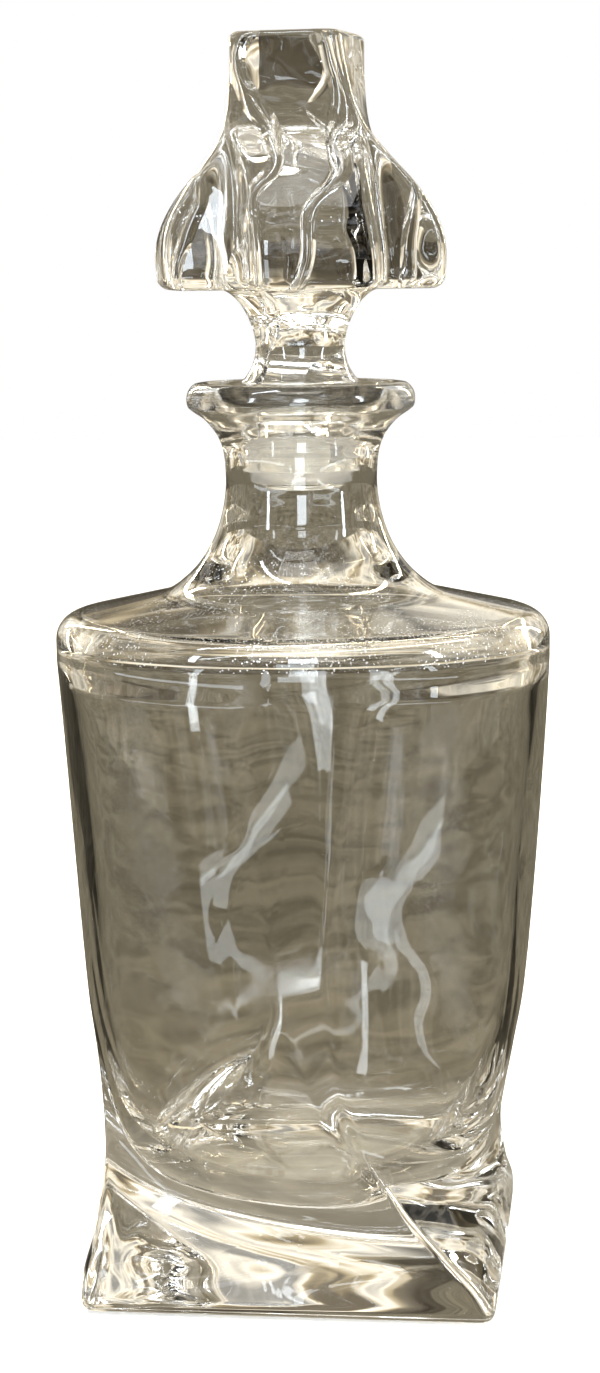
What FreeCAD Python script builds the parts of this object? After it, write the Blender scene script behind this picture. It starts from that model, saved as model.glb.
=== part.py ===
import FreeCAD, Part
import math
import os

os.makedirs("parts", exist_ok=True)

# Whisky decanter: twisted square glass bottle, solid glass stopper and its plastic seal.
# Millimetres. Origin at the middle of the underside, +Z up, base sides along X and Y.

V = FreeCAD.Vector

# ---- bottle, outer body ------------------------------------------------------------
# Every level is a rounded square given by: height, reach to the corner, corner radius,
# roundness of the sides (0.7071 straight, 1.0 a full circle) and turn in degrees.
# Going up, the corners turn clockwise seen from above and fade into a round body.
FOOT_ROUND = 2.4
BODY_LEVELS = [
    (FOOT_ROUND, 60.3, 2.9, 0.7090, 0.6),
    (8.0, 57.9, 2.4, 0.7110, 3.4),
    (14.0, 53.2, 1.8, 0.7250, 7.6),
    (21.0, 49.0, 1.8, 0.7600, 13.4),
    (28.0, 46.4, 2.0, 0.8200, 19.0),
    (36.0, 45.4, 3.5, 0.8700, 26.0),
    (46.0, 45.8, 8.0, 0.8900, 33.0),
    (60.0, 47.7, 12.0, 0.8850, 38.0),
    (84.0, 49.8, 16.0, 0.8850, 42.0),
    (110.0, 51.7, 24.0, 0.8900, 44.0),
    (124.0, 52.6, 36.0, 0.9000, 44.7),
    (134.0, 53.1, 53.1, 0.9000, 45.0),
]
BODY_TOP = BODY_LEVELS[-1][0]
BODY_RADIUS = BODY_LEVELS[-1][1]

# ---- bottle, shoulder, neck and lip --------------------------------------------------
SHOULDER_ROUND = 5.4
SHOULDER_RISE = 4.4
SHOULDER_SLOPE = 12.5
SHOULDER_END_RADIUS = 31.0
NECK_MIN_RADIUS = 16.2
NECK_MIN_HEIGHT = 173.0
LIP_RADIUS = 24.4
LIP_HEIGHT = 188.7
LIP_TOP = 192.6
LIP_TOP_OUTER = 22.4
LIP_TOP_INNER = 19.4

# ---- bottle, inside ------------------------------------------------------------------
# Same kind of levels as the outer body; the hollow follows its twist and ends in a bowl.
CAVITY_LEVELS = [
    (19.6, 14.0, 10.0, 0.9000, 17.0),
    (20.2, 22.5, 13.0, 0.8700, 17.5),
    (21.4, 28.4, 12.0, 0.8500, 18.0),
    (23.4, 32.2, 10.5, 0.8500, 18.7),
    (26.4, 35.2, 9.5, 0.8600, 20.5),
    (30.0, 37.4, 9.0, 0.8700, 23.0),
    (36.0, 39.6, 9.5, 0.8800, 26.5),
    (46.0, 41.7, 12.0, 0.8900, 33.0),
    (60.0, 44.2, 16.0, 0.8850, 38.0),
    (84.0, 46.4, 21.0, 0.8850, 42.0),
    (110.0, 48.6, 29.0, 0.8900, 44.0),
    (122.0, 49.5, 39.0, 0.9000, 44.6),
    (130.0, 50.0, 50.0, 0.9000, 45.0),
]
CAVITY_BOWL_TOP = 30.0
CAVITY_SHOULDER = 135.9
BORE_TOP_RADIUS = 13.0
BORE_TOP_HEIGHT = 184.6
BORE_LOW_RADIUS = 12.2
BORE_LOW_HEIGHT = 160.0

# ---- stopper -------------------------------------------------------------------------
# Every level is a cross of four arms, square where reach and half width are equal:
# height, reach of the arms, half width of the arms and turn in degrees. Going down,
# the square top turns anticlockwise seen from above and its four faces flare outwards.
HEAD_LOW_ROUND = 2.8
HEAD_TOP_ROUND = 1.6
HEAD_LEVELS = [
    (215.0, 29.6, 13.7, 14.0),
    (219.0, 29.9, 13.7, 13.5),
    (223.0, 29.5, 13.6, 12.8),
    (227.0, 28.2, 13.4, 12.0),
    (231.0, 26.0, 13.2, 11.2),
    (235.0, 23.1, 13.1, 10.0),
    (238.0, 20.5, 13.2, 8.5),
    (241.0, 18.0, 13.4, 6.5),
    (244.0, 15.9, 13.6, 4.0),
    (247.0, 14.5, 13.6, 1.6),
    (251.0, 13.4, 13.2, -1.5),
    (257.0, 12.5, 12.5, -5.5),
    (263.9, 12.0, 12.0, -9.6),
]
ARM_SHARPNESS = 12.0
CROSS_FILLING = 8.0
STEM_WAIST_RADIUS = 9.5
STEM_WAIST_HEIGHT = 199.5
COLLAR_RADIUS = 12.6
COLLAR_HEIGHT = 192.8
PLUG_RADIUS = 9.5
PLUG_END = 169.8
PLUG_END_ROUND = 1.6

# ---- seal ----------------------------------------------------------------------------
SEAL_LOW = 171.4
SEAL_TOP = 183.4
SEAL_CLEARANCE = 0.05
SEAL_LOW_RADIUS = 10.9
SEAL_BODY_RADIUS = 11.7
SEAL_RIBS = [174.6, 177.6, 180.6]
RIB_HALF_HEIGHT = 0.5
RIB_CLEARANCE = 0.06

# ---- surface detail ------------------------------------------------------------------
LEVEL_STEP = 4.0
HEAD_STEP = 2.5
HALF_ANGLES = [1.3, 2.8, 4.8, 8.0, 13.0, 20.0, 28.0, 36.5, 45.0]
CORNER_ANGLES = [-a for a in reversed(HALF_ANGLES)] + [0.0] + HALF_ANGLES
ARM_ANGLES = [3.0 * i for i in range(31)]
JOIN_STEP = 0.02
JOIN_OVERLAP = 1.0


def polar(radius, degrees, z):
    angle = math.radians(degrees)
    return V(radius * math.cos(angle), radius * math.sin(angle), z)


def level_at(levels, z):
    """Level values at height z on a smooth curve through the rows of a level table."""
    last = len(levels) - 1
    upper = next(i for i in range(1, last + 1) if z <= levels[i][0] or i == last)
    low, high = levels[upper - 1], levels[upper]
    before, after = levels[max(upper - 2, 0)], levels[min(upper + 1, last)]
    span = high[0] - low[0]
    t = (z - low[0]) / span
    values = [z]
    for i in range(1, len(low)):
        start = (high[i] - before[i]) / (high[0] - before[0]) * span
        end = (after[i] - low[i]) / (after[0] - low[0]) * span
        rise = high[i] - low[i]
        curve_value = low[i] + t * start + t * t * (3 * rise - 2 * start - end)
        values.append(curve_value + t * t * t * (start + end - 2 * rise))
    return tuple(values)


def outline_radius(angle, reach, corner, roundness):
    """Distance from the axis to a rounded square, at an angle in degrees from its corner."""
    half = math.cos(math.radians(45.0))
    offset = reach - corner
    behind = offset * (1.0 - roundness ** 2) / (2.0 * (roundness - half))
    side_radius = behind + corner + roundness * offset
    lean = math.atan2(half * offset, behind + half * offset)
    meet = math.radians(45.0) - lean
    limit = math.atan2(corner * math.sin(meet), offset + corner * math.cos(meet))
    from_corner = math.radians(abs(angle))
    if from_corner < limit:
        across = offset * math.sin(from_corner)
        return offset * math.cos(from_corner) + math.sqrt(corner ** 2 - across ** 2)
    from_middle = math.radians(45.0) - from_corner
    across = behind * math.sin(from_middle)
    return math.sqrt(side_radius ** 2 - across ** 2) - behind * math.cos(from_middle)


def square_points(z, reach, corner, roundness, turn):
    """Points of one quarter of a rounded square, from mid side round a corner to mid side."""
    points = []
    for angle in CORNER_ANGLES:
        radius = reach
        if reach > corner:
            radius = outline_radius(angle, reach, corner, roundness)
        points.append(polar(radius, 45.0 - turn + angle, z))
    return points


def cross_points(z, reach, width, turn):
    """Points of one quarter of a cross, from the end of one arm to the end of the next."""
    points = []
    for angle in ARM_ANGLES:
        along, across = math.cos(math.radians(angle)), math.sin(math.radians(angle))
        first = (along / reach) ** ARM_SHARPNESS + (across / width) ** ARM_SHARPNESS
        second = (across / reach) ** ARM_SHARPNESS + (along / width) ** ARM_SHARPNESS
        power = CROSS_FILLING / ARM_SHARPNESS
        total = first ** -power + second ** -power
        radius = (total / (1.0 + (width / reach) ** CROSS_FILLING)) ** (1.0 / CROSS_FILLING)
        points.append(polar(radius, angle + turn, z))
    return points


def closed_wire(points, parameters):
    """Closed wire of four alike smooth edges from the points of one quarter."""
    first = points[0]
    points[-1] = V(-first.y, first.x, first.z)
    spline = Part.BSplineCurve()
    spline.interpolate(Points=points, Parameters=parameters)
    edges = []
    for side in range(4):
        edge = spline.toShape()
        edge.rotate(V(0, 0, 0), V(0, 0, 1), 90.0 * side)
        edges.append(edge)
    return Part.Wire(edges)


def rounded_end(level, insets, rounding, outward):
    """Levels that roll the outline inwards from an end face, outward -1 down or +1 up."""
    levels = []
    for degrees in [90.0, 70.0, 50.0, 30.0, 15.0]:
        angle = math.radians(degrees)
        inset = rounding * (1.0 - math.cos(angle))
        height = level[0] + outward * rounding * math.sin(angle)
        sizes = [value - inset for value in level[1:1 + insets]]
        levels.append((height, *sizes, *level[1 + insets:]))
    return levels


def heights(low, high, step):
    count = max(1, round((high - low) / step))
    return [low + (high - low) * i / count for i in range(count + 1)]


def curve(points, start_slope=None, end_slope=None):
    """Smooth edge through (radius, height) points, with optional end directions."""
    spline = Part.BSplineCurve()
    poles = [V(r, 0.0, z) for r, z in points]
    if start_slope is None:
        spline.interpolate(Points=poles)
    else:
        spline.interpolate(
            Points=poles,
            InitialTangent=V(start_slope[0], 0.0, start_slope[1]),
            FinalTangent=V(end_slope[0], 0.0, end_slope[1]),
        )
    return spline.toShape()


def line(a, b):
    return Part.makeLine(V(a[0], 0.0, a[1]), V(b[0], 0.0, b[1]))


def arc(a, b, c):
    return Part.Arc(V(a[0], 0.0, a[1]), V(b[0], 0.0, b[1]), V(c[0], 0.0, c[1])).toShape()


def turned(edges):
    """Solid of revolution about Z from a closed outline in the XZ plane."""
    face = Part.Face(Part.Wire(Part.__sortEdges__(edges)))
    return face.revolve(V(0, 0, 0), V(0, 0, 1), 360.0)


def bottle_outside():
    slope = math.radians(SHOULDER_SLOPE)
    radius = BODY_RADIUS + JOIN_STEP
    skirt = BODY_TOP - JOIN_OVERLAP
    round_centre = (radius - SHOULDER_ROUND, BODY_TOP + SHOULDER_RISE)
    round_end = (
        round_centre[0] + SHOULDER_ROUND * math.sin(slope),
        round_centre[1] + SHOULDER_ROUND * math.cos(slope),
    )
    middle = math.radians(40.0)
    round_middle = (
        round_centre[0] + SHOULDER_ROUND * math.cos(middle),
        round_centre[1] + SHOULDER_ROUND * math.sin(middle),
    )
    rise = (round_end[0] - SHOULDER_END_RADIUS) * math.tan(slope)
    cone_end = (SHOULDER_END_RADIUS, round_end[1] + rise)
    neck = [
        cone_end,
        (24.4, 151.7),
        (19.4, 158.4),
        (17.1, 164.8),
        (NECK_MIN_RADIUS, NECK_MIN_HEIGHT),
        (17.6, 180.8),
        (20.4, 184.6),
        (LIP_RADIUS - 0.6, LIP_HEIGHT - 1.6),
    ]
    outline = [
        line((0.0, skirt), (radius, skirt)),
        line((radius, skirt), (radius, round_centre[1])),
        arc((radius, round_centre[1]), round_middle, round_end),
        line(round_end, cone_end),
        curve(neck, (-math.cos(slope), math.sin(slope)), (0.75, 0.66)),
        arc(neck[-1], (LIP_RADIUS, LIP_HEIGHT + 0.4), (LIP_TOP_OUTER, LIP_TOP)),
        line((LIP_TOP_OUTER, LIP_TOP), (0.0, LIP_TOP)),
        line((0.0, LIP_TOP), (0.0, skirt)),
    ]
    levels = rounded_end(BODY_LEVELS[0], 2, FOOT_ROUND, -1)
    levels += [level_at(BODY_LEVELS, z) for z in heights(FOOT_ROUND, BODY_TOP, LEVEL_STEP)]
    wires = [closed_wire(square_points(*level), CORNER_ANGLES) for level in levels]
    return Part.makeLoft(wires, True).fuse(turned(outline))


def bottle_inside():
    top = CAVITY_LEVELS[-1][0]
    radius = CAVITY_LEVELS[-1][1] + JOIN_STEP
    low = top - JOIN_OVERLAP
    slope = math.radians(SHOULDER_SLOPE)
    upper_start = (46.6, 140.8)
    upper_end = (29.5, upper_start[1] + (46.6 - 29.5) * math.tan(slope))
    throat = [
        upper_end,
        (21.6, 149.3),
        (15.6, 154.5),
        (BORE_LOW_RADIUS, 163.0),
    ]
    mouth = [
        (BORE_TOP_RADIUS, BORE_TOP_HEIGHT),
        (14.6, 188.2),
        (LIP_TOP_INNER, LIP_TOP),
    ]
    outline = [
        line((0.0, low), (radius, low)),
        line((radius, low), (radius, CAVITY_SHOULDER)),
        arc((radius, CAVITY_SHOULDER), (48.9, 139.3), upper_start),
        line(upper_start, upper_end),
        curve(throat, (-math.cos(slope), math.sin(slope)), (0.0, 1.0)),
        line(throat[-1], mouth[0]),
        curve(mouth, (0.05, 1.0), (1.0, 0.35)),
        line(mouth[-1], (LIP_TOP_INNER, LIP_TOP + 5.0)),
        line((LIP_TOP_INNER, LIP_TOP + 5.0), (0.0, LIP_TOP + 5.0)),
        line((0.0, LIP_TOP + 5.0), (0.0, low)),
    ]
    levels = [level for level in CAVITY_LEVELS if level[0] < CAVITY_BOWL_TOP]
    levels += [level_at(CAVITY_LEVELS, z) for z in heights(CAVITY_BOWL_TOP, top, LEVEL_STEP)]
    wires = [closed_wire(square_points(*level), CORNER_ANGLES) for level in levels]
    return Part.makeLoft(wires, True).fuse(turned(outline))


def bottle():
    return bottle_outside().cut(bottle_inside())


def stopper():
    low, high = HEAD_LEVELS[0][0], HEAD_LEVELS[-1][0]
    levels = rounded_end(HEAD_LEVELS[0], 2, HEAD_LOW_ROUND, -1)
    levels += [level_at(HEAD_LEVELS, z) for z in heights(low, high, HEAD_STEP)]
    levels += reversed(rounded_end(HEAD_LEVELS[-1], 2, HEAD_TOP_ROUND, 1))
    wires = [closed_wire(cross_points(*level), ARM_ANGLES) for level in levels]
    head = Part.makeLoft(wires, True)
    stem_top = HEAD_LEVELS[0][0] - HEAD_LOW_ROUND + 0.5
    stem = [
        (17.0, stem_top),
        (14.6, 211.0),
        (10.9, 206.0),
        (STEM_WAIST_RADIUS, STEM_WAIST_HEIGHT),
        (10.6, 195.4),
        (COLLAR_RADIUS, COLLAR_HEIGHT),
    ]
    collar_low = (PLUG_RADIUS, COLLAR_HEIGHT - 2.6)
    end_start = (PLUG_RADIUS, PLUG_END + PLUG_END_ROUND)
    end_middle = (PLUG_RADIUS - 0.3 * PLUG_END_ROUND, PLUG_END + 0.3 * PLUG_END_ROUND)
    end_finish = (PLUG_RADIUS - PLUG_END_ROUND, PLUG_END)
    outline = [
        line((0.0, stem_top), stem[0]),
        curve(stem, (-1.0, -0.4), (0.9, -0.8)),
        arc(stem[-1], (12.1, COLLAR_HEIGHT - 1.2), collar_low),
        line(collar_low, end_start),
        arc(end_start, end_middle, end_finish),
        line(end_finish, (0.0, PLUG_END)),
        line((0.0, PLUG_END), (0.0, stem_top)),
    ]
    return head.fuse(turned(outline)).removeSplitter()


def bore_radius(z):
    share = (z - 163.0) / (BORE_TOP_HEIGHT - 163.0)
    return BORE_LOW_RADIUS + share * (BORE_TOP_RADIUS - BORE_LOW_RADIUS)


def seal():
    inner = PLUG_RADIUS + SEAL_CLEARANCE
    sleeve = turned([
        line((inner, SEAL_LOW), (SEAL_LOW_RADIUS, SEAL_LOW)),
        line((SEAL_LOW_RADIUS, SEAL_LOW), (SEAL_BODY_RADIUS, SEAL_TOP - 1.6)),
        line((SEAL_BODY_RADIUS, SEAL_TOP - 1.6), (SEAL_BODY_RADIUS - 0.4, SEAL_TOP)),
        line((SEAL_BODY_RADIUS - 0.4, SEAL_TOP), (inner, SEAL_TOP)),
        line((inner, SEAL_TOP), (inner, SEAL_LOW)),
    ])
    for height in SEAL_RIBS:
        low = height - RIB_HALF_HEIGHT
        crest = bore_radius(low) - RIB_CLEARANCE
        rib = turned([
            line((inner + 0.4, low), (crest, low)),
            line((crest, low), (crest, low + RIB_HALF_HEIGHT)),
            line((crest, low + RIB_HALF_HEIGHT), (inner + 0.4, low + 3.0 * RIB_HALF_HEIGHT)),
            line((inner + 0.4, low + 3.0 * RIB_HALF_HEIGHT), (inner + 0.4, low)),
        ])
        sleeve = sleeve.fuse(rib)
    return sleeve.removeSplitter()


NODES = {
    "bottle": bottle,
    "stopper": stopper,
    "stopper_seal": seal,
}

for name, make in NODES.items():
    shape = make()
    if shape.ShapeType == "Compound" and len(shape.Solids) == 1:
        shape = shape.Solids[0]
    shape.exportStep("parts/" + name + ".step")
    print(name, shape.ShapeType, shape.isValid(), round(shape.Volume), shape.BoundBox)

inside = bottle_inside()
print("capacity to the lip, litres", round(inside.Volume / 1e6, 3))
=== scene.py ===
import math

import bpy
import numpy as np
from mathutils import Matrix, Vector


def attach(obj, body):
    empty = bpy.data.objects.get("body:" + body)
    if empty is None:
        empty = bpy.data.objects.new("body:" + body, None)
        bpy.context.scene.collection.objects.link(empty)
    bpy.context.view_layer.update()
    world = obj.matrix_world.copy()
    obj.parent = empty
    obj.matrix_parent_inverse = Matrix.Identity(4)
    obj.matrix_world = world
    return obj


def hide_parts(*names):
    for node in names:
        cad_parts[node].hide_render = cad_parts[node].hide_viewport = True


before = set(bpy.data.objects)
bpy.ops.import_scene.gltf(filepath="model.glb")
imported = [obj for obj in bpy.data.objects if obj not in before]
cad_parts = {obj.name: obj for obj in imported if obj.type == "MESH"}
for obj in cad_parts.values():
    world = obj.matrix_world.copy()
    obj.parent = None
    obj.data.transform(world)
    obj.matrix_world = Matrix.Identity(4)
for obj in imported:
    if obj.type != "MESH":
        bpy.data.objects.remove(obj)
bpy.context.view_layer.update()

MM = 0.001
scene = bpy.context.scene

# ---- sizes, in millimetres, the same as the CAD part -----------------------------------
# Level rows: height, reach to the corner, corner radius, roundness of the sides, turn.
FOOT_ROUND = 2.4
BODY_LEVELS = [
    (FOOT_ROUND, 60.3, 2.9, 0.7090, 0.6),
    (8.0, 57.9, 2.4, 0.7110, 3.4),
    (14.0, 53.2, 1.8, 0.7250, 7.6),
    (21.0, 49.0, 1.8, 0.7600, 13.4),
    (28.0, 46.4, 2.0, 0.8200, 19.0),
    (36.0, 45.4, 3.5, 0.8700, 26.0),
    (46.0, 45.8, 8.0, 0.8900, 33.0),
    (60.0, 47.7, 12.0, 0.8850, 38.0),
    (84.0, 49.8, 16.0, 0.8850, 42.0),
    (110.0, 51.7, 24.0, 0.8900, 44.0),
    (124.0, 52.6, 36.0, 0.9000, 44.7),
    (134.0, 53.1, 53.1, 0.9000, 45.0),
]
CAVITY_LEVELS = [
    (19.6, 14.0, 10.0, 0.9000, 17.0),
    (20.2, 22.5, 13.0, 0.8700, 17.5),
    (21.4, 28.4, 12.0, 0.8500, 18.0),
    (23.4, 32.2, 10.5, 0.8500, 18.7),
    (26.4, 35.2, 9.5, 0.8600, 20.5),
    (30.0, 37.4, 9.0, 0.8700, 23.0),
    (36.0, 39.6, 9.5, 0.8800, 26.5),
    (46.0, 41.7, 12.0, 0.8900, 33.0),
    (60.0, 44.2, 16.0, 0.8850, 38.0),
    (84.0, 46.4, 21.0, 0.8850, 42.0),
    (110.0, 48.6, 29.0, 0.8900, 44.0),
    (122.0, 49.5, 39.0, 0.9000, 44.6),
    (130.0, 50.0, 50.0, 0.9000, 45.0),
]
# Stopper rows: height, reach of the four arms, half width of the arms, turn.
HEAD_LOW_ROUND = 2.8
HEAD_TOP_ROUND = 1.6
HEAD_LEVELS = [
    (215.0, 29.6, 13.7, 14.0),
    (219.0, 29.9, 13.7, 13.5),
    (223.0, 29.5, 13.6, 12.8),
    (227.0, 28.2, 13.4, 12.0),
    (231.0, 26.0, 13.2, 11.2),
    (235.0, 23.1, 13.1, 10.0),
    (238.0, 20.5, 13.2, 8.5),
    (241.0, 18.0, 13.4, 6.5),
    (244.0, 15.9, 13.6, 4.0),
    (247.0, 14.5, 13.6, 1.6),
    (251.0, 13.4, 13.2, -1.5),
    (257.0, 12.5, 12.5, -5.5),
    (263.9, 12.0, 12.0, -9.6),
]
ARM_SHARPNESS = 12.0
CROSS_FILLING = 8.0
# Shoulder of the bottle: outer rounding, height of its centre over the body, slope.
SHOULDER_ROUND = 5.4
SHOULDER_RISE = 4.4
SLOPE = math.radians(12.5)
CONE_END_RADIUS = 31.0
# Turned curves, as (radius, height) points: outside of the neck, lip, rim, then down the inside.
LIP_START = (23.8, 187.1)
RIM_START = (22.2, 192.5)
MOUTH_START = (19.2, 192.0)
BORE_TOP = (13.0, 184.6)
BORE_END = (12.2, 163.0)
NECK = [(24.4, 151.7), (19.4, 158.4), (17.1, 164.8), (16.2, 173.0)]
FLARE = [(17.6, 180.8), (20.4, 184.6), LIP_START]
LIP = [LIP_START, (24.4, 189.1), (23.6, 191.5), RIM_START]
RIM = [RIM_START, (20.6, 192.6), MOUTH_START]
MOUTH = [MOUTH_START, (14.6, 188.0), BORE_TOP]
THROAT = [BORE_END, (15.6, 154.5), (21.6, 149.3)]
THROAT_END_RADIUS = 29.5
CAVITY_CONE_END = (46.6, 140.8)
CAVITY_WALL_TOP = (50.0, 135.9)
CAVITY_ROUND = [CAVITY_CONE_END, (48.9, 139.3), CAVITY_WALL_TOP]
CAVITY_ROUND_WALL_END = (50.0, 131.0)
CAVITY_BOWL_TOP = 30.0
# Stopper below its head.
PLUG_RADIUS = 9.5
PLUG_END = 169.8
PLUG_END_ROUND = 1.6
COLLAR_LOW = (PLUG_RADIUS, 190.2)
COLLAR_TOP = (12.6, 192.8)
COLLAR = [COLLAR_LOW, (11.2, 190.9), (12.4, 192.0), COLLAR_TOP]
STEM = [COLLAR_TOP, (10.6, 195.4), (9.5, 199.5), (10.9, 206.0), (14.4, 211.0), (15.8, 211.9)]
HEAD_UNDERSIDE_CORE = 16.0
# Seal: its body widens from the low end to the top, and each rib keeps clear of the bore.
SEAL_INNER = 9.55
SEAL_LOW = 171.4
SEAL_TOP = 183.4
SEAL_LOW_RADIUS = 10.9
SEAL_WIDENING = 0.8 / 10.4
SEAL_RIBS = (174.6, 177.6, 180.6)
RIB_CLEARANCE = 0.06
BORE_WIDENING = (BORE_TOP[0] - BORE_END[0]) / (BORE_TOP[1] - BORE_END[1])


# ---- outline maths -----------------------------------------------------------------------
def level_at(levels, z):
    """Level values at height z on a smooth curve through the rows of a level table."""
    last = len(levels) - 1
    upper = next(i for i in range(1, last + 1) if z <= levels[i][0] or i == last)
    low, high = levels[upper - 1], levels[upper]
    before, after = levels[max(upper - 2, 0)], levels[min(upper + 1, last)]
    span = high[0] - low[0]
    t = (z - low[0]) / span
    values = [z]
    for i in range(1, len(low)):
        start = (high[i] - before[i]) / (high[0] - before[0]) * span
        end = (after[i] - low[i]) / (after[0] - low[0]) * span
        rise = high[i] - low[i]
        value = low[i] + t * start + t * t * (3 * rise - 2 * start - end)
        values.append(value + t * t * t * (start + end - 2 * rise))
    return tuple(values)


def outline_radii(angles, reach, corner, roundness):
    """Distances from the axis to a rounded square, at angles in radians from its corner."""
    if reach - corner < 0.05:
        return np.full(len(angles), reach)
    half = math.cos(math.radians(45.0))
    offset = reach - corner
    behind = offset * (1.0 - roundness ** 2) / (2.0 * (roundness - half))
    side_radius = behind + corner + roundness * offset
    lean = math.atan2(half * offset, behind + half * offset)
    meet = math.radians(45.0) - lean
    limit = math.atan2(corner * math.sin(meet), offset + corner * math.cos(meet))
    away = np.abs(angles)
    across = offset * np.sin(away)
    at_corner = offset * np.cos(away) + np.sqrt(np.maximum(corner ** 2 - across ** 2, 0.0))
    from_middle = math.radians(45.0) - away
    at_side = np.sqrt(side_radius ** 2 - (behind * np.sin(from_middle)) ** 2)
    at_side = at_side - behind * np.cos(from_middle)
    return np.where(away < limit, at_corner, at_side)


QUARTER = 64
shares = np.linspace(-1.0, 1.0, QUARTER + 1)[:-1]
crowding = 0.35 * np.abs(shares) + 0.65 * np.abs(shares) ** 2.2
RIDGE_ANGLES = np.sign(shares) * math.radians(45.0) * crowding


def ring(radii, angles, z):
    """Points in metres at these radii and angles, all at one height."""
    return [(r * math.cos(a) * MM, r * math.sin(a) * MM, z * MM) for r, a in zip(radii, angles)]


def square_ring(level):
    """Ring of points round a rounded square, close together at the corners."""
    z, reach, corner, roundness, turn = level
    radii = outline_radii(RIDGE_ANGLES, reach, corner, roundness)
    points = []
    for side in range(4):
        points += ring(radii, math.radians(45.0 + 90.0 * side - turn) + RIDGE_ANGLES, z)
    return points


def round_ring(radius, z):
    """Circle with as many points as a square ring."""
    return square_ring((z, radius, radius, 0.9, 45.0))


ARM_ANGLES = np.radians(np.linspace(0.0, 90.0, 91)[:-1])


def cross_radii(reach, width):
    """Distances from the axis to a quarter of a cross of four arms."""
    along, across = np.cos(ARM_ANGLES), np.sin(ARM_ANGLES)
    first = (along / reach) ** ARM_SHARPNESS + (across / width) ** ARM_SHARPNESS
    second = (across / reach) ** ARM_SHARPNESS + (along / width) ** ARM_SHARPNESS
    power = CROSS_FILLING / ARM_SHARPNESS
    total = first ** -power + second ** -power
    return (total / (1.0 + (width / reach) ** CROSS_FILLING)) ** (1.0 / CROSS_FILLING)


def cross_ring(level, share=1.0, core=0.0):
    """Ring round the cross, or part of the way in from it to a circle of the core radius."""
    z, reach, width, turn = level
    radii = core + (cross_radii(reach, width) - core) * share
    points = []
    for side in range(4):
        points += ring(radii, math.radians(turn + 90.0 * side) + ARM_ANGLES, z)
    return points


def rounded_end(level, insets, rounding, outward, steps=8):
    """Levels that roll the outline inwards towards an end face."""
    levels = []
    for i in range(steps):
        angle = math.radians(90.0 * (1.0 - i / steps))
        inset = rounding * (1.0 - math.cos(angle))
        height = level[0] + outward * rounding * math.sin(angle)
        sizes = [value - inset for value in level[1:1 + insets]]
        levels.append((height, *sizes, *level[1 + insets:]))
    return levels


def smooth_profile(points, step, start=None, end=None):
    """(radius, height) points evenly along a smooth curve through the given ones."""
    pts = [np.array(p, float) for p in points]
    n = len(pts)
    chords = [np.linalg.norm(pts[i + 1] - pts[i]) for i in range(n - 1)]
    tangents = []
    for i in range(n):
        if i == 0:
            d = np.array(start, float) if start else pts[1] - pts[0]
        elif i == n - 1:
            d = np.array(end, float) if end else pts[-1] - pts[-2]
        else:
            a = (pts[i] - pts[i - 1]) / chords[i - 1]
            b = (pts[i + 1] - pts[i]) / chords[i]
            d = a * chords[i] + b * chords[i - 1]
        tangents.append(d / np.linalg.norm(d))
    out = []
    for i in range(n - 1):
        count = max(2, int(round(chords[i] / step)))
        for k in range(count):
            t = k / count
            h1, h2 = 2 * t ** 3 - 3 * t ** 2 + 1, t ** 3 - 2 * t ** 2 + t
            h3, h4 = 3 * t ** 2 - 2 * t ** 3, t ** 3 - t ** 2
            p = h1 * pts[i] + h2 * chords[i] * tangents[i]
            p = p + h3 * pts[i + 1] + h4 * chords[i] * tangents[i + 1]
            out.append(tuple(p))
    out.append(tuple(pts[-1]))
    return out


def arc_profile(centre, radius, start, end, steps):
    """(radius, height) points on an arc, angles in degrees from the outward direction."""
    angles = [math.radians(start + (end - start) * i / steps) for i in range(steps + 1)]
    return [(centre[0] + radius * math.cos(a), centre[1] + radius * math.sin(a)) for a in angles]


def skin(name, rings, low_pole=None, high_pole=None, closed=False):
    """Mesh through rings of equal length, closed by a point at either end or into a loop."""
    count = len(rings[0])
    verts = [p for ring in rings for p in ring]
    faces = []
    pairs = list(zip(range(len(rings) - 1), range(1, len(rings))))
    if closed:
        pairs.append((len(rings) - 1, 0))
    for a, b in pairs:
        for i in range(count):
            j = (i + 1) % count
            faces.append((a * count + i, a * count + j, b * count + j, b * count + i))
    if low_pole is not None:
        pole = len(verts)
        verts.append(low_pole)
        faces += [(pole, (i + 1) % count, i) for i in range(count)]
    if high_pole is not None:
        pole = len(verts)
        verts.append(high_pole)
        last = (len(rings) - 1) * count
        faces += [(pole, last + i, last + (i + 1) % count) for i in range(count)]
    mesh = bpy.data.meshes.new(name)
    mesh.from_pydata(verts, [], faces)
    mesh.validate()
    mesh.update()
    mesh.polygons.foreach_set("use_smooth", [True] * len(mesh.polygons))
    obj = bpy.data.objects.new(name, mesh)
    scene.collection.objects.link(obj)
    return obj


def heights(low, high, step):
    """Even heights from low to high, about a step apart."""
    count = max(1, round((high - low) / step))
    return [low + (high - low) * i / count for i in range(count + 1)]


# ---- bottle ------------------------------------------------------------------------------
DOWN_OUT = (math.cos(SLOPE), -math.sin(SLOPE))
UP_IN = (-math.cos(SLOPE), math.sin(SLOPE))
UP_OUT = (0.75, 0.66)
DOWN_IN = (-0.75, -0.66)
RIM_INWARD = (-1.0, 0.1)
DOWN = (0.0, -1.0)
BORE_DOWN = (-0.05, -1.0)
WALL_DOWN = (0.05, -1.0)


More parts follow.
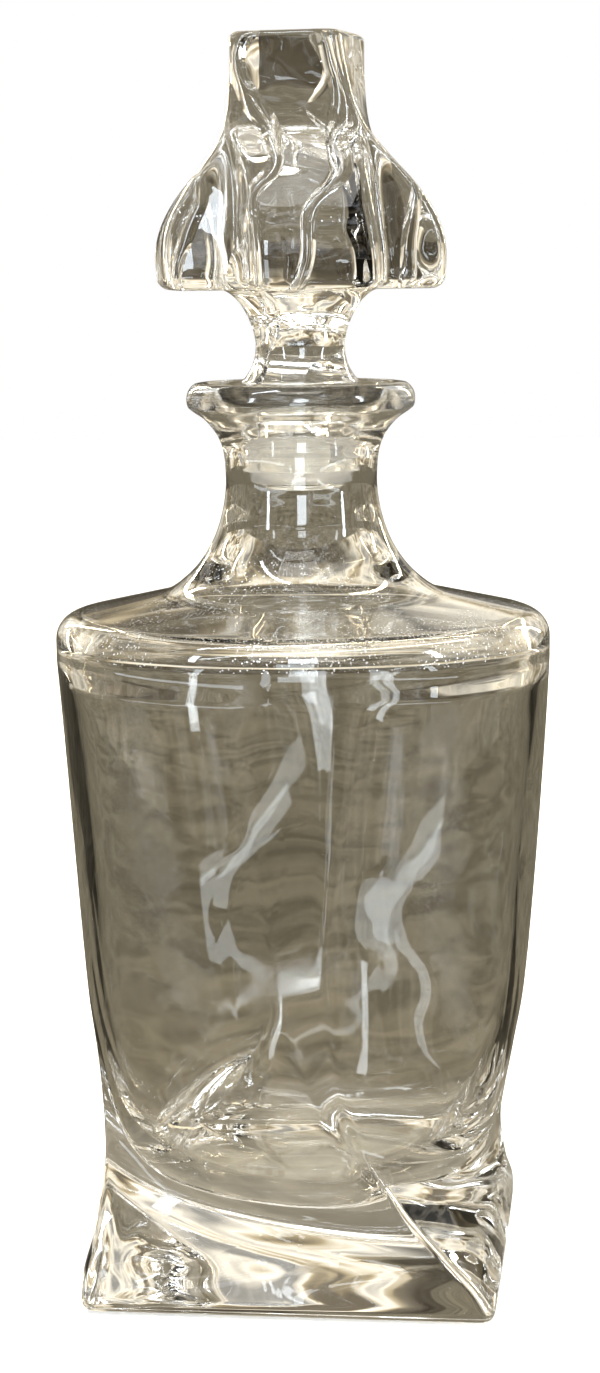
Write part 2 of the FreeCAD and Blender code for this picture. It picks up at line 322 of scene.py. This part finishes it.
def bottle_outside():
    """(radius, height) points from the top of the twisted body to the rim."""
    body_top, body_radius = BODY_LEVELS[-1][0], BODY_LEVELS[-1][1]
    points = [(body_radius, body_top + 1.5), (body_radius, body_top + 3.0)]
    centre = (body_radius - SHOULDER_ROUND, body_top + SHOULDER_RISE)
    points += arc_profile(centre, SHOULDER_ROUND, 0.0, 90.0 - math.degrees(SLOPE), 14)
    round_end = points[-1]
    drop = (round_end[0] - CONE_END_RADIUS) * math.tan(SLOPE)
    cone_end = (CONE_END_RADIUS, round_end[1] + drop)
    points += smooth_profile([round_end, cone_end], 1.5)[1:]
    points += smooth_profile([cone_end] + NECK + FLARE, 0.8, UP_IN, UP_OUT)[1:]
    points += smooth_profile(LIP, 0.35, UP_OUT, RIM_INWARD)[1:]
    points += smooth_profile(RIM, 0.4, RIM_INWARD, DOWN_IN)[1:]
    return points


def bottle_inside():
    """(radius, height) points from the rim down to the twisted part of the hollow."""
    points = smooth_profile(MOUTH, 0.8, DOWN_IN, BORE_DOWN)[1:]
    points += smooth_profile([BORE_TOP, BORE_END], 1.2)[1:]
    rise = (CAVITY_CONE_END[0] - THROAT_END_RADIUS) * math.tan(SLOPE)
    throat_end = (THROAT_END_RADIUS, CAVITY_CONE_END[1] + rise)
    points += smooth_profile(THROAT + [throat_end], 1.0, DOWN, DOWN_OUT)[1:]
    points += smooth_profile([throat_end, CAVITY_CONE_END], 1.5)[1:]
    points += smooth_profile(CAVITY_ROUND, 0.6, DOWN_OUT, WALL_DOWN)[1:]
    points += smooth_profile([CAVITY_WALL_TOP, CAVITY_ROUND_WALL_END], 1.2)[1:]
    return points


def shrunk(level, share):
    """The same rounded square, smaller about the axis."""
    z, reach, corner, roundness, turn = level
    return (z, reach * share, corner * share, roundness, turn)


def make_bottle():
    foot = rounded_end(BODY_LEVELS[0], 2, FOOT_ROUND, -1)
    rings = [square_ring(shrunk(foot[0], share)) for share in (0.1, 0.4, 0.7, 0.9, 0.98)]
    rings += [square_ring(level) for level in foot]
    for z in heights(FOOT_ROUND, BODY_LEVELS[-1][0], 1.2):
        rings.append(square_ring(level_at(BODY_LEVELS, z)))
    rings += [round_ring(r, z) for r, z in bottle_outside() + bottle_inside()]
    floor_height, top = CAVITY_LEVELS[0][0], CAVITY_LEVELS[-1][0]
    down = heights(CAVITY_BOWL_TOP, top, 1.2)[::-1]
    down += heights(floor_height, CAVITY_BOWL_TOP, 0.4)[::-1][1:]
    rings += [square_ring(level_at(CAVITY_LEVELS, z)) for z in down]
    rings += [square_ring(shrunk(CAVITY_LEVELS[0], share)) for share in (0.9, 0.6, 0.3, 0.1)]
    return skin("bottle_glass", rings, (0.0, 0.0, 0.0), (0.0, 0.0, floor_height * MM))


# ---- stopper -----------------------------------------------------------------------------
def make_stopper():
    corner = PLUG_RADIUS - PLUG_END_ROUND
    start = PLUG_END + PLUG_END_ROUND
    shaft = [(1.6, PLUG_END), (5.0, PLUG_END), (7.2, PLUG_END), (corner, PLUG_END)]
    shaft += arc_profile((corner, start), PLUG_END_ROUND, -90.0, 0.0, 8)[1:]
    shaft += smooth_profile([(PLUG_RADIUS, start), COLLAR_LOW], 1.5)[1:]
    shaft += smooth_profile(COLLAR, 0.3, (1.0, 0.1), (0.0, 1.0))[1:]
    shaft += smooth_profile(STEM, 0.6, (-0.9, 0.8), (1.0, 0.4))[1:]
    low = rounded_end(HEAD_LEVELS[0], 2, HEAD_LOW_ROUND, -1)
    top = rounded_end(HEAD_LEVELS[-1], 2, HEAD_TOP_ROUND, 1)[::-1]
    turn = HEAD_LEVELS[0][3]
    rings = [cross_ring((z, r, r, turn), 0.0, r) for r, z in shaft]
    for share in (0.06, 0.2, 0.5, 0.8, 0.94):
        rings.append(cross_ring(low[0], share, HEAD_UNDERSIDE_CORE))
    rings += [cross_ring(level) for level in low]
    for z in heights(HEAD_LEVELS[0][0], HEAD_LEVELS[-1][0], 0.8):
        rings.append(cross_ring(level_at(HEAD_LEVELS, z)))
    rings += [cross_ring(level) for level in top]
    rings += [cross_ring(top[-1], share) for share in (0.97, 0.85, 0.5, 0.15)]
    return skin("stopper_glass", rings, (0.0, 0.0, PLUG_END * MM), (0.0, 0.0, top[-1][0] * MM))


# ---- seal --------------------------------------------------------------------------------
def make_seal():
    profile = [(SEAL_INNER, SEAL_LOW), (10.6, SEAL_LOW), (SEAL_LOW_RADIUS, 171.7)]
    for z in SEAL_RIBS:
        body = SEAL_LOW_RADIUS + SEAL_WIDENING * (z - SEAL_LOW)
        bore = BORE_END[0] + BORE_WIDENING * (z - 0.5 - BORE_END[1])
        crest = bore - RIB_CLEARANCE
        profile += [(body, z - 0.7), (crest - 0.1, z - 0.5), (crest, z - 0.35)]
        profile += [(crest, z - 0.1), (body + 0.1, z + 0.9)]
    profile += [(11.7, 181.9), (11.6, 182.9), (11.3, SEAL_TOP), (SEAL_INNER, SEAL_TOP)]
    rings = [round_ring(r, z) for r, z in profile]
    return skin("seal_sleeve", rings, closed=True)


# ---- node helpers ------------------------------------------------------------------------
def node_material(name):
    material = bpy.data.materials.new(name)
    material.use_nodes = True
    tree = material.node_tree
    tree.nodes.clear()
    return material, tree


def add(tree, kind, **values):
    node = tree.nodes.new(kind)
    for key, value in values.items():
        if key in node.inputs:
            node.inputs[key].default_value = value
        else:
            setattr(node, key, value)
    return node


def noise(tree, vector, scale, detail, distortion=0.0):
    node = add(tree, "ShaderNodeTexNoise", Scale=scale, Detail=detail, Distortion=distortion)
    tree.links.new(vector, node.inputs["Vector"])
    return node.outputs["Fac"]


def map_range(tree, value, low, high, to_low=0.0, to_high=1.0):
    node = add(tree, "ShaderNodeMapRange")
    node.inputs["From Min"].default_value = low
    node.inputs["From Max"].default_value = high
    node.inputs["To Min"].default_value = to_low
    node.inputs["To Max"].default_value = to_high
    tree.links.new(value, node.inputs["Value"])
    return node.outputs["Result"]


def maths(tree, operation, *values):
    """Math node whose inputs are numbers or the outputs of other nodes."""
    node = add(tree, "ShaderNodeMath", operation=operation)
    for socket, value in zip(node.inputs, values):
        if isinstance(value, bpy.types.NodeSocket):
            tree.links.new(value, socket)
        else:
            socket.default_value = value
    return node.outputs["Value"]


def colour_ramp(tree, value, stops):
    """Colours between (position, colour) stops."""
    node = add(tree, "ShaderNodeValToRGB")
    elements = node.color_ramp.elements
    for position, colour in stops:
        elements.new(position).color = (*colour, 1.0)
    elements.remove(elements[0])
    elements.remove(elements[-1])
    tree.links.new(value, node.inputs["Fac"])
    return node.outputs["Color"]


def xyz(tree, vector):
    node = add(tree, "ShaderNodeSeparateXYZ")
    tree.links.new(vector, node.inputs["Vector"])
    return node.outputs


def bump(tree, height, strength, distance):
    node = add(tree, "ShaderNodeBump", Strength=strength, Distance=distance)
    tree.links.new(height, node.inputs["Height"])
    return node


def glass_material(name, tint, ripple, ripple_scale, crease, dust_heights, rim_heights=None):
    """Clear glass with a soft cast ripple, faint smears, and dust where it settles.

    Between the rim heights the glass grows softer, as on a worn lip.
    """
    material, tree = node_material(name)
    links = tree.links
    out = add(tree, "ShaderNodeOutputMaterial")
    bsdf = add(tree, "ShaderNodeBsdfPrincipled")
    bsdf.inputs["IOR"].default_value = 1.52
    place = add(tree, "ShaderNodeTexCoord").outputs["Object"]
    height = xyz(tree, place)["Z"]

    swell = bump(tree, noise(tree, place, ripple_scale, 1.5), ripple, 0.0015)
    bands = add(tree, "ShaderNodeTexWave", Scale=0.36 * ripple_scale, Distortion=7.0, Detail=1.0)
    bands.inputs["Detail Scale"].default_value = 1.4
    links.new(place, bands.inputs["Vector"])
    creases = bump(tree, map_range(tree, bands.outputs["Fac"], 0.80, 1.0), crease, 0.0008)
    links.new(swell.outputs["Normal"], creases.inputs["Normal"])
    links.new(creases.outputs["Normal"], bsdf.inputs["Normal"])

    roughness = map_range(tree, noise(tree, place, 55.0, 4.0, 0.6), 0.58, 0.80, 0.0, 0.22)
    if rim_heights:
        worn = map_range(tree, height, *rim_heights, 0.0, 0.10)
        roughness = maths(tree, "MAXIMUM", roughness, worn)
    links.new(roughness, bsdf.inputs["Roughness"])

    specks = add(tree, "ShaderNodeTexVoronoi", Scale=1200.0)
    links.new(place, specks.inputs["Vector"])
    dust = maths(tree, "LESS_THAN", specks.outputs["Distance"], 0.23)
    for share in (
        map_range(tree, noise(tree, place, 60.0, 2.0), 0.42, 0.62),
        maths(tree, "GREATER_THAN", height, dust_heights[0]),
        maths(tree, "LESS_THAN", height, dust_heights[1]),
    ):
        dust = maths(tree, "MULTIPLY", dust, share)
    clear = map_range(tree, dust, 0.0, 1.0, 1.0, 0.45)
    links.new(clear, bsdf.inputs["Transmission Weight"])

    thick = (tint[0] * 0.93, tint[1] * 0.92, tint[2] * 0.90)
    cast = colour_ramp(tree, noise(tree, place, 14.0, 3.0), ((0.35, thick), (0.62, tint)))
    links.new(cast, bsdf.inputs["Base Color"])
    links.new(bsdf.outputs["BSDF"], out.inputs["Surface"])
    return material


def seal_material():
    """Milky plastic; the slight emission stands for light scattered inside it."""
    material, tree = node_material("milky_polyethylene")
    out = add(tree, "ShaderNodeOutputMaterial")
    bsdf = add(tree, "ShaderNodeBsdfPrincipled")
    bsdf.inputs["Base Color"].default_value = (0.96, 0.95, 0.91, 1.0)
    bsdf.inputs["Transmission Weight"].default_value = 0.93
    bsdf.inputs["Emission Color"].default_value = (1.0, 0.97, 0.9, 1.0)
    bsdf.inputs["Emission Strength"].default_value = 0.07
    bsdf.inputs["IOR"].default_value = 1.5
    place = add(tree, "ShaderNodeTexCoord").outputs["Object"]
    roughness = map_range(tree, noise(tree, place, 260.0, 3.0), 0.0, 1.0, 0.04, 0.24)
    tree.links.new(roughness, bsdf.inputs["Roughness"])
    tree.links.new(bsdf.outputs["BSDF"], out.inputs["Surface"])
    return material


# ---- pieces ------------------------------------------------------------------------------
GLASS_TINT = (0.985, 0.985, 0.975)
SHOULDER_HEIGHTS = (0.137, 0.156)
HEAD_LEDGE_HEIGHTS = (0.226, 0.230)
LIP_HEIGHTS = (0.1815, 0.1845)
crystal = glass_material("crystal_glass", GLASS_TINT, 0.13, 26.0, 0.03, SHOULDER_HEIGHTS, LIP_HEIGHTS)
head_glass = glass_material("stopper_glass_cast", GLASS_TINT, 0.9, 62.0, 0.9, HEAD_LEDGE_HEIGHTS)
plastic = seal_material()

bottle = make_bottle()
stopper = make_stopper()
seal = make_seal()
for piece, material, body, node, slot in (
    (bottle, crystal, "bottle", "bottle", "glass"),
    (stopper, head_glass, "stopper", "stopper", "glass"),
    (seal, plastic, "seal", "stopper_seal", "seal_plastic"),
):
    piece.data.materials.append(material)
    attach(piece, body)
    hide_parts(node)

# ---- floor -------------------------------------------------------------------------------
floor_mesh = bpy.data.meshes.new("floor")
side = 3.0
corners = [(-side, -side, 0), (side, -side, 0), (side, side, 0), (-side, side, 0)]
floor_mesh.from_pydata(corners, [], [(0, 1, 2, 3)])
floor = bpy.data.objects.new("floor", floor_mesh)
scene.collection.objects.link(floor)
floor.location.z = -0.0003

# The glass sees a dark wooden room and a glowing table with a painted pool of light, pale next to the
# bottle and browner further out; the picture shows plain white.
floor_material, tree = node_material("pale_floor")
out = add(tree, "ShaderNodeOutputMaterial")
seen = add(tree, "ShaderNodeBsdfDiffuse")
seen.inputs["Color"].default_value = (0.975, 0.975, 0.97, 1.0)
through = add(tree, "ShaderNodeEmission")
path = add(tree, "ShaderNodeLightPath").outputs
place = add(tree, "ShaderNodeTexCoord").outputs["Object"]
length = add(tree, "ShaderNodeVectorMath", operation="LENGTH")
tree.links.new(place, length.inputs[0])
reach = maths(tree, "MULTIPLY_ADD", noise(tree, place, 14.0, 4.0), 0.16, length.outputs["Value"])
# Painted light: to glass rays the floor glows, brightest in a painted pool of light round the
# bottle's foot.
table_glow_and_painted_pool = colour_ramp(tree, reach, (
    (0.09, (0.52, 0.47, 0.36)),
    (0.135, (0.30, 0.265, 0.20)),
    (0.175, (0.225, 0.194, 0.133)),
    (0.42, (0.170, 0.149, 0.104)),
))
mottle = map_range(tree, noise(tree, place, 26.0, 5.0, 1.2), 0.36, 0.64, 0.72, 1.38)
tree.links.new(table_glow_and_painted_pool, through.inputs["Color"])
tree.links.new(mottle, through.inputs["Strength"])
bent = maths(tree, "MAXIMUM", path["Is Transmission Ray"], path["Is Glossy Ray"])
mix = add(tree, "ShaderNodeMixShader")
tree.links.new(bent, mix.inputs["Fac"])
tree.links.new(seen.outputs["BSDF"], mix.inputs[1])
tree.links.new(through.outputs["Emission"], mix.inputs[2])
tree.links.new(mix.outputs["Shader"], out.inputs["Surface"])
floor_mesh.materials.append(floor_material)

# ---- surroundings ------------------------------------------------------------------------
world = bpy.data.worlds.new("studio")
scene.world = world
world.use_nodes = True
tree = world.node_tree
tree.nodes.clear()
links = tree.links
out = add(tree, "ShaderNodeOutputWorld")
room = add(tree, "ShaderNodeBackground")
white = add(tree, "ShaderNodeBackground", Color=(1.0, 1.0, 1.0, 1.0), Strength=1.0)
path = add(tree, "ShaderNodeLightPath").outputs
toward = add(tree, "ShaderNodeTexCoord").outputs["Generated"]
aim = xyz(tree, toward)

# Brown walls, darker near eye level, behind the bottle.
walls = colour_ramp(tree, noise(tree, toward, 11.0, 5.0, 0.5), (
    (0.38, (0.135, 0.104, 0.065)),
    (0.62, (0.31, 0.275, 0.20)),
))
shaded = add(tree, "ShaderNodeVectorMath", operation="SCALE")
links.new(walls, shaded.inputs[0])
links.new(map_range(tree, aim["Z"], -0.18, -0.05, 1.0, 0.36), shaded.inputs["Scale"])

# Bright shapes above and to the sides.
shapes = colour_ramp(tree, noise(tree, toward, 4.5, 2.0, 0.8), (
    (0.40, (0.20, 0.165, 0.115)),
    (0.46, (0.60, 0.49, 0.30)),
    (0.54, (1.38, 1.27, 1.05)),
    (0.64, (0.40, 0.385, 0.35)),
))
above = map_range(tree, aim["Z"], 0.06, 0.15)
aside = maths(tree, "ABSOLUTE", maths(tree, "ADD", aim["X"], 0.10))
region = maths(tree, "MAXIMUM", above, map_range(tree, aside, 0.13, 0.32))
blend = add(tree, "ShaderNodeMix", data_type="RGBA")
links.new(region, blend.inputs[0])
links.new(shaded.outputs["Vector"], blend.inputs[6])
links.new(shapes, blend.inputs[7])

# Cool patches of window in front, seen only as reflections.
glow = map_range(tree, noise(tree, toward, 6.0, 5.0, 0.4), 0.56, 0.66, 0.0, 2.2)
ahead = maths(tree, "MULTIPLY", glow, maths(tree, "LESS_THAN", aim["Y"], -0.35))
cool = add(tree, "ShaderNodeVectorMath", operation="SCALE")
cool.inputs[0].default_value = (0.86, 0.92, 1.0)
links.new(ahead, cool.inputs["Scale"])
total = add(tree, "ShaderNodeVectorMath", operation="ADD")
links.new(blend.outputs[2], total.inputs[0])
links.new(cool.outputs["Vector"], total.inputs[1])
links.new(total.outputs["Vector"], room.inputs["Color"])

mix = add(tree, "ShaderNodeMixShader")
links.new(maths(tree, "MAXIMUM", path["Is Camera Ray"], path["Is Diffuse Ray"]), mix.inputs["Fac"])
links.new(room.outputs["Background"], mix.inputs[1])
links.new(white.outputs["Background"], mix.inputs[2])
links.new(mix.outputs["Shader"], out.inputs["Surface"])


def area_light(name, place, target, width, height, watts, colour):
    light = bpy.data.lights.new(name, "AREA")
    light.shape = "RECTANGLE"
    light.size = width
    light.size_y = height
    light.energy = watts
    light.color = colour
    obj = bpy.data.objects.new(name, light)
    scene.collection.objects.link(obj)
    obj.location = place
    obj.rotation_euler = (Vector(target) - Vector(place)).to_track_quat("-Z", "Y").to_euler()
    obj.visible_camera = False
    return obj


def strip_light(name, start, end, width, brightness, colour):
    """Narrow light from start to end, facing the bottle, for one long reflection."""
    first, last = Vector(start), Vector(end)
    middle = (first + last) * 0.5
    along = (last - first).normalized()
    away = middle - Vector(TARGET)
    away = (away - along * away.dot(along)).normalized()
    length = (last - first).length
    watts = brightness * math.pi * length * width
    obj = area_light(name, middle, TARGET, length, width, watts, colour)
    obj.rotation_euler = Matrix((along, away.cross(along), away)).transposed().to_euler()
    return obj


COOL = (0.84, 0.92, 1.0)
WARM = (1.0, 0.84, 0.58)
TARGET = (0.0, 0.0, 0.12)
strip_light("left_streak", (0.28, -0.41, 0.083), (0.49, -0.104, 0.033), 0.016, 5.5, COOL)
strip_light("right_streak", (-0.499, -0.035, 0.063), (-0.171, -0.47, 0.046), 0.016, 5.5, COOL)
strip_light("middle_streak", (-0.105, -0.49, 0.058), (-0.075, -0.49, 0.082), 0.022, 6.0, COOL)
strip_light("near_front", (-0.05, -0.52, 0.135), (0.10, -0.52, 0.135), 0.085, 8.0, COOL)
strip_light("window_front", (0.157, -1.49, 0.30), (0.157, -1.49, 0.90), 0.36, 17.0, COOL)
area_light("window_left", (-0.95, -0.95, 0.50), TARGET, 0.10, 0.60, 5.0, COOL)
area_light("window_right", (1.10, -0.42, 0.50), TARGET, 0.09, 0.60, 5.0, COOL)
area_light("lamp_left", (-0.55, 0.95, 0.55), TARGET, 0.05, 0.50, 4.0, WARM)
area_light("lamp_right", (0.62, 1.05, 0.50), TARGET, 0.05, 0.50, 4.0, WARM)
area_light("ceiling_tube_1", (-0.35, -0.2, 1.7), TARGET, 0.08, 1.5, 14.0, COOL)
area_light("ceiling_tube_2", (0.45, 0.5, 1.7), TARGET, 0.08, 1.5, 14.0, WARM)
area_light("soft_top", (0.0, -0.6, 2.2), TARGET, 1.2, 1.0, 12.0, (1.0, 1.0, 1.0))

# ---- camera ------------------------------------------------------------------------------
CAMERA_AZIMUTH = math.radians(6.0)
CAMERA_DISTANCE = 0.645
CAMERA_HEIGHT = 0.219
CAMERA_PITCH = math.radians(8.12)
CAMERA_ROLL = math.radians(0.55)
FOCAL_PIXELS = 3012.0
PHOTO_HEIGHT = 1373.0

camera_data = bpy.data.cameras.new("camera")
camera_data.sensor_fit = "VERTICAL"
camera_data.sensor_height = 36.0
camera_data.lens = 36.0 * FOCAL_PIXELS / PHOTO_HEIGHT
camera = bpy.data.objects.new("camera", camera_data)
scene.collection.objects.link(camera)
place = Vector((
    CAMERA_DISTANCE * math.sin(CAMERA_AZIMUTH),
    -CAMERA_DISTANCE * math.cos(CAMERA_AZIMUTH),
    CAMERA_HEIGHT,
))
yaw = CAMERA_AZIMUTH + 3.5 / FOCAL_PIXELS
forward = Vector((
    -math.sin(yaw) * math.cos(CAMERA_PITCH),
    math.cos(yaw) * math.cos(CAMERA_PITCH),
    -math.sin(CAMERA_PITCH),
))
camera.location = place
turn = forward.to_track_quat("-Z", "Y").to_matrix()
roll = Matrix.Rotation(-CAMERA_ROLL, 3, "Z")
camera.rotation_euler = (turn @ roll).to_euler()
scene.camera = camera

scene.view_settings.view_transform = "Standard"
scene.cycles.max_bounces = 24
scene.cycles.transmission_bounces = 20
scene.cycles.glossy_bounces = 8
scene.cycles.transparent_max_bounces = 8
scene.cycles.use_denoising = True
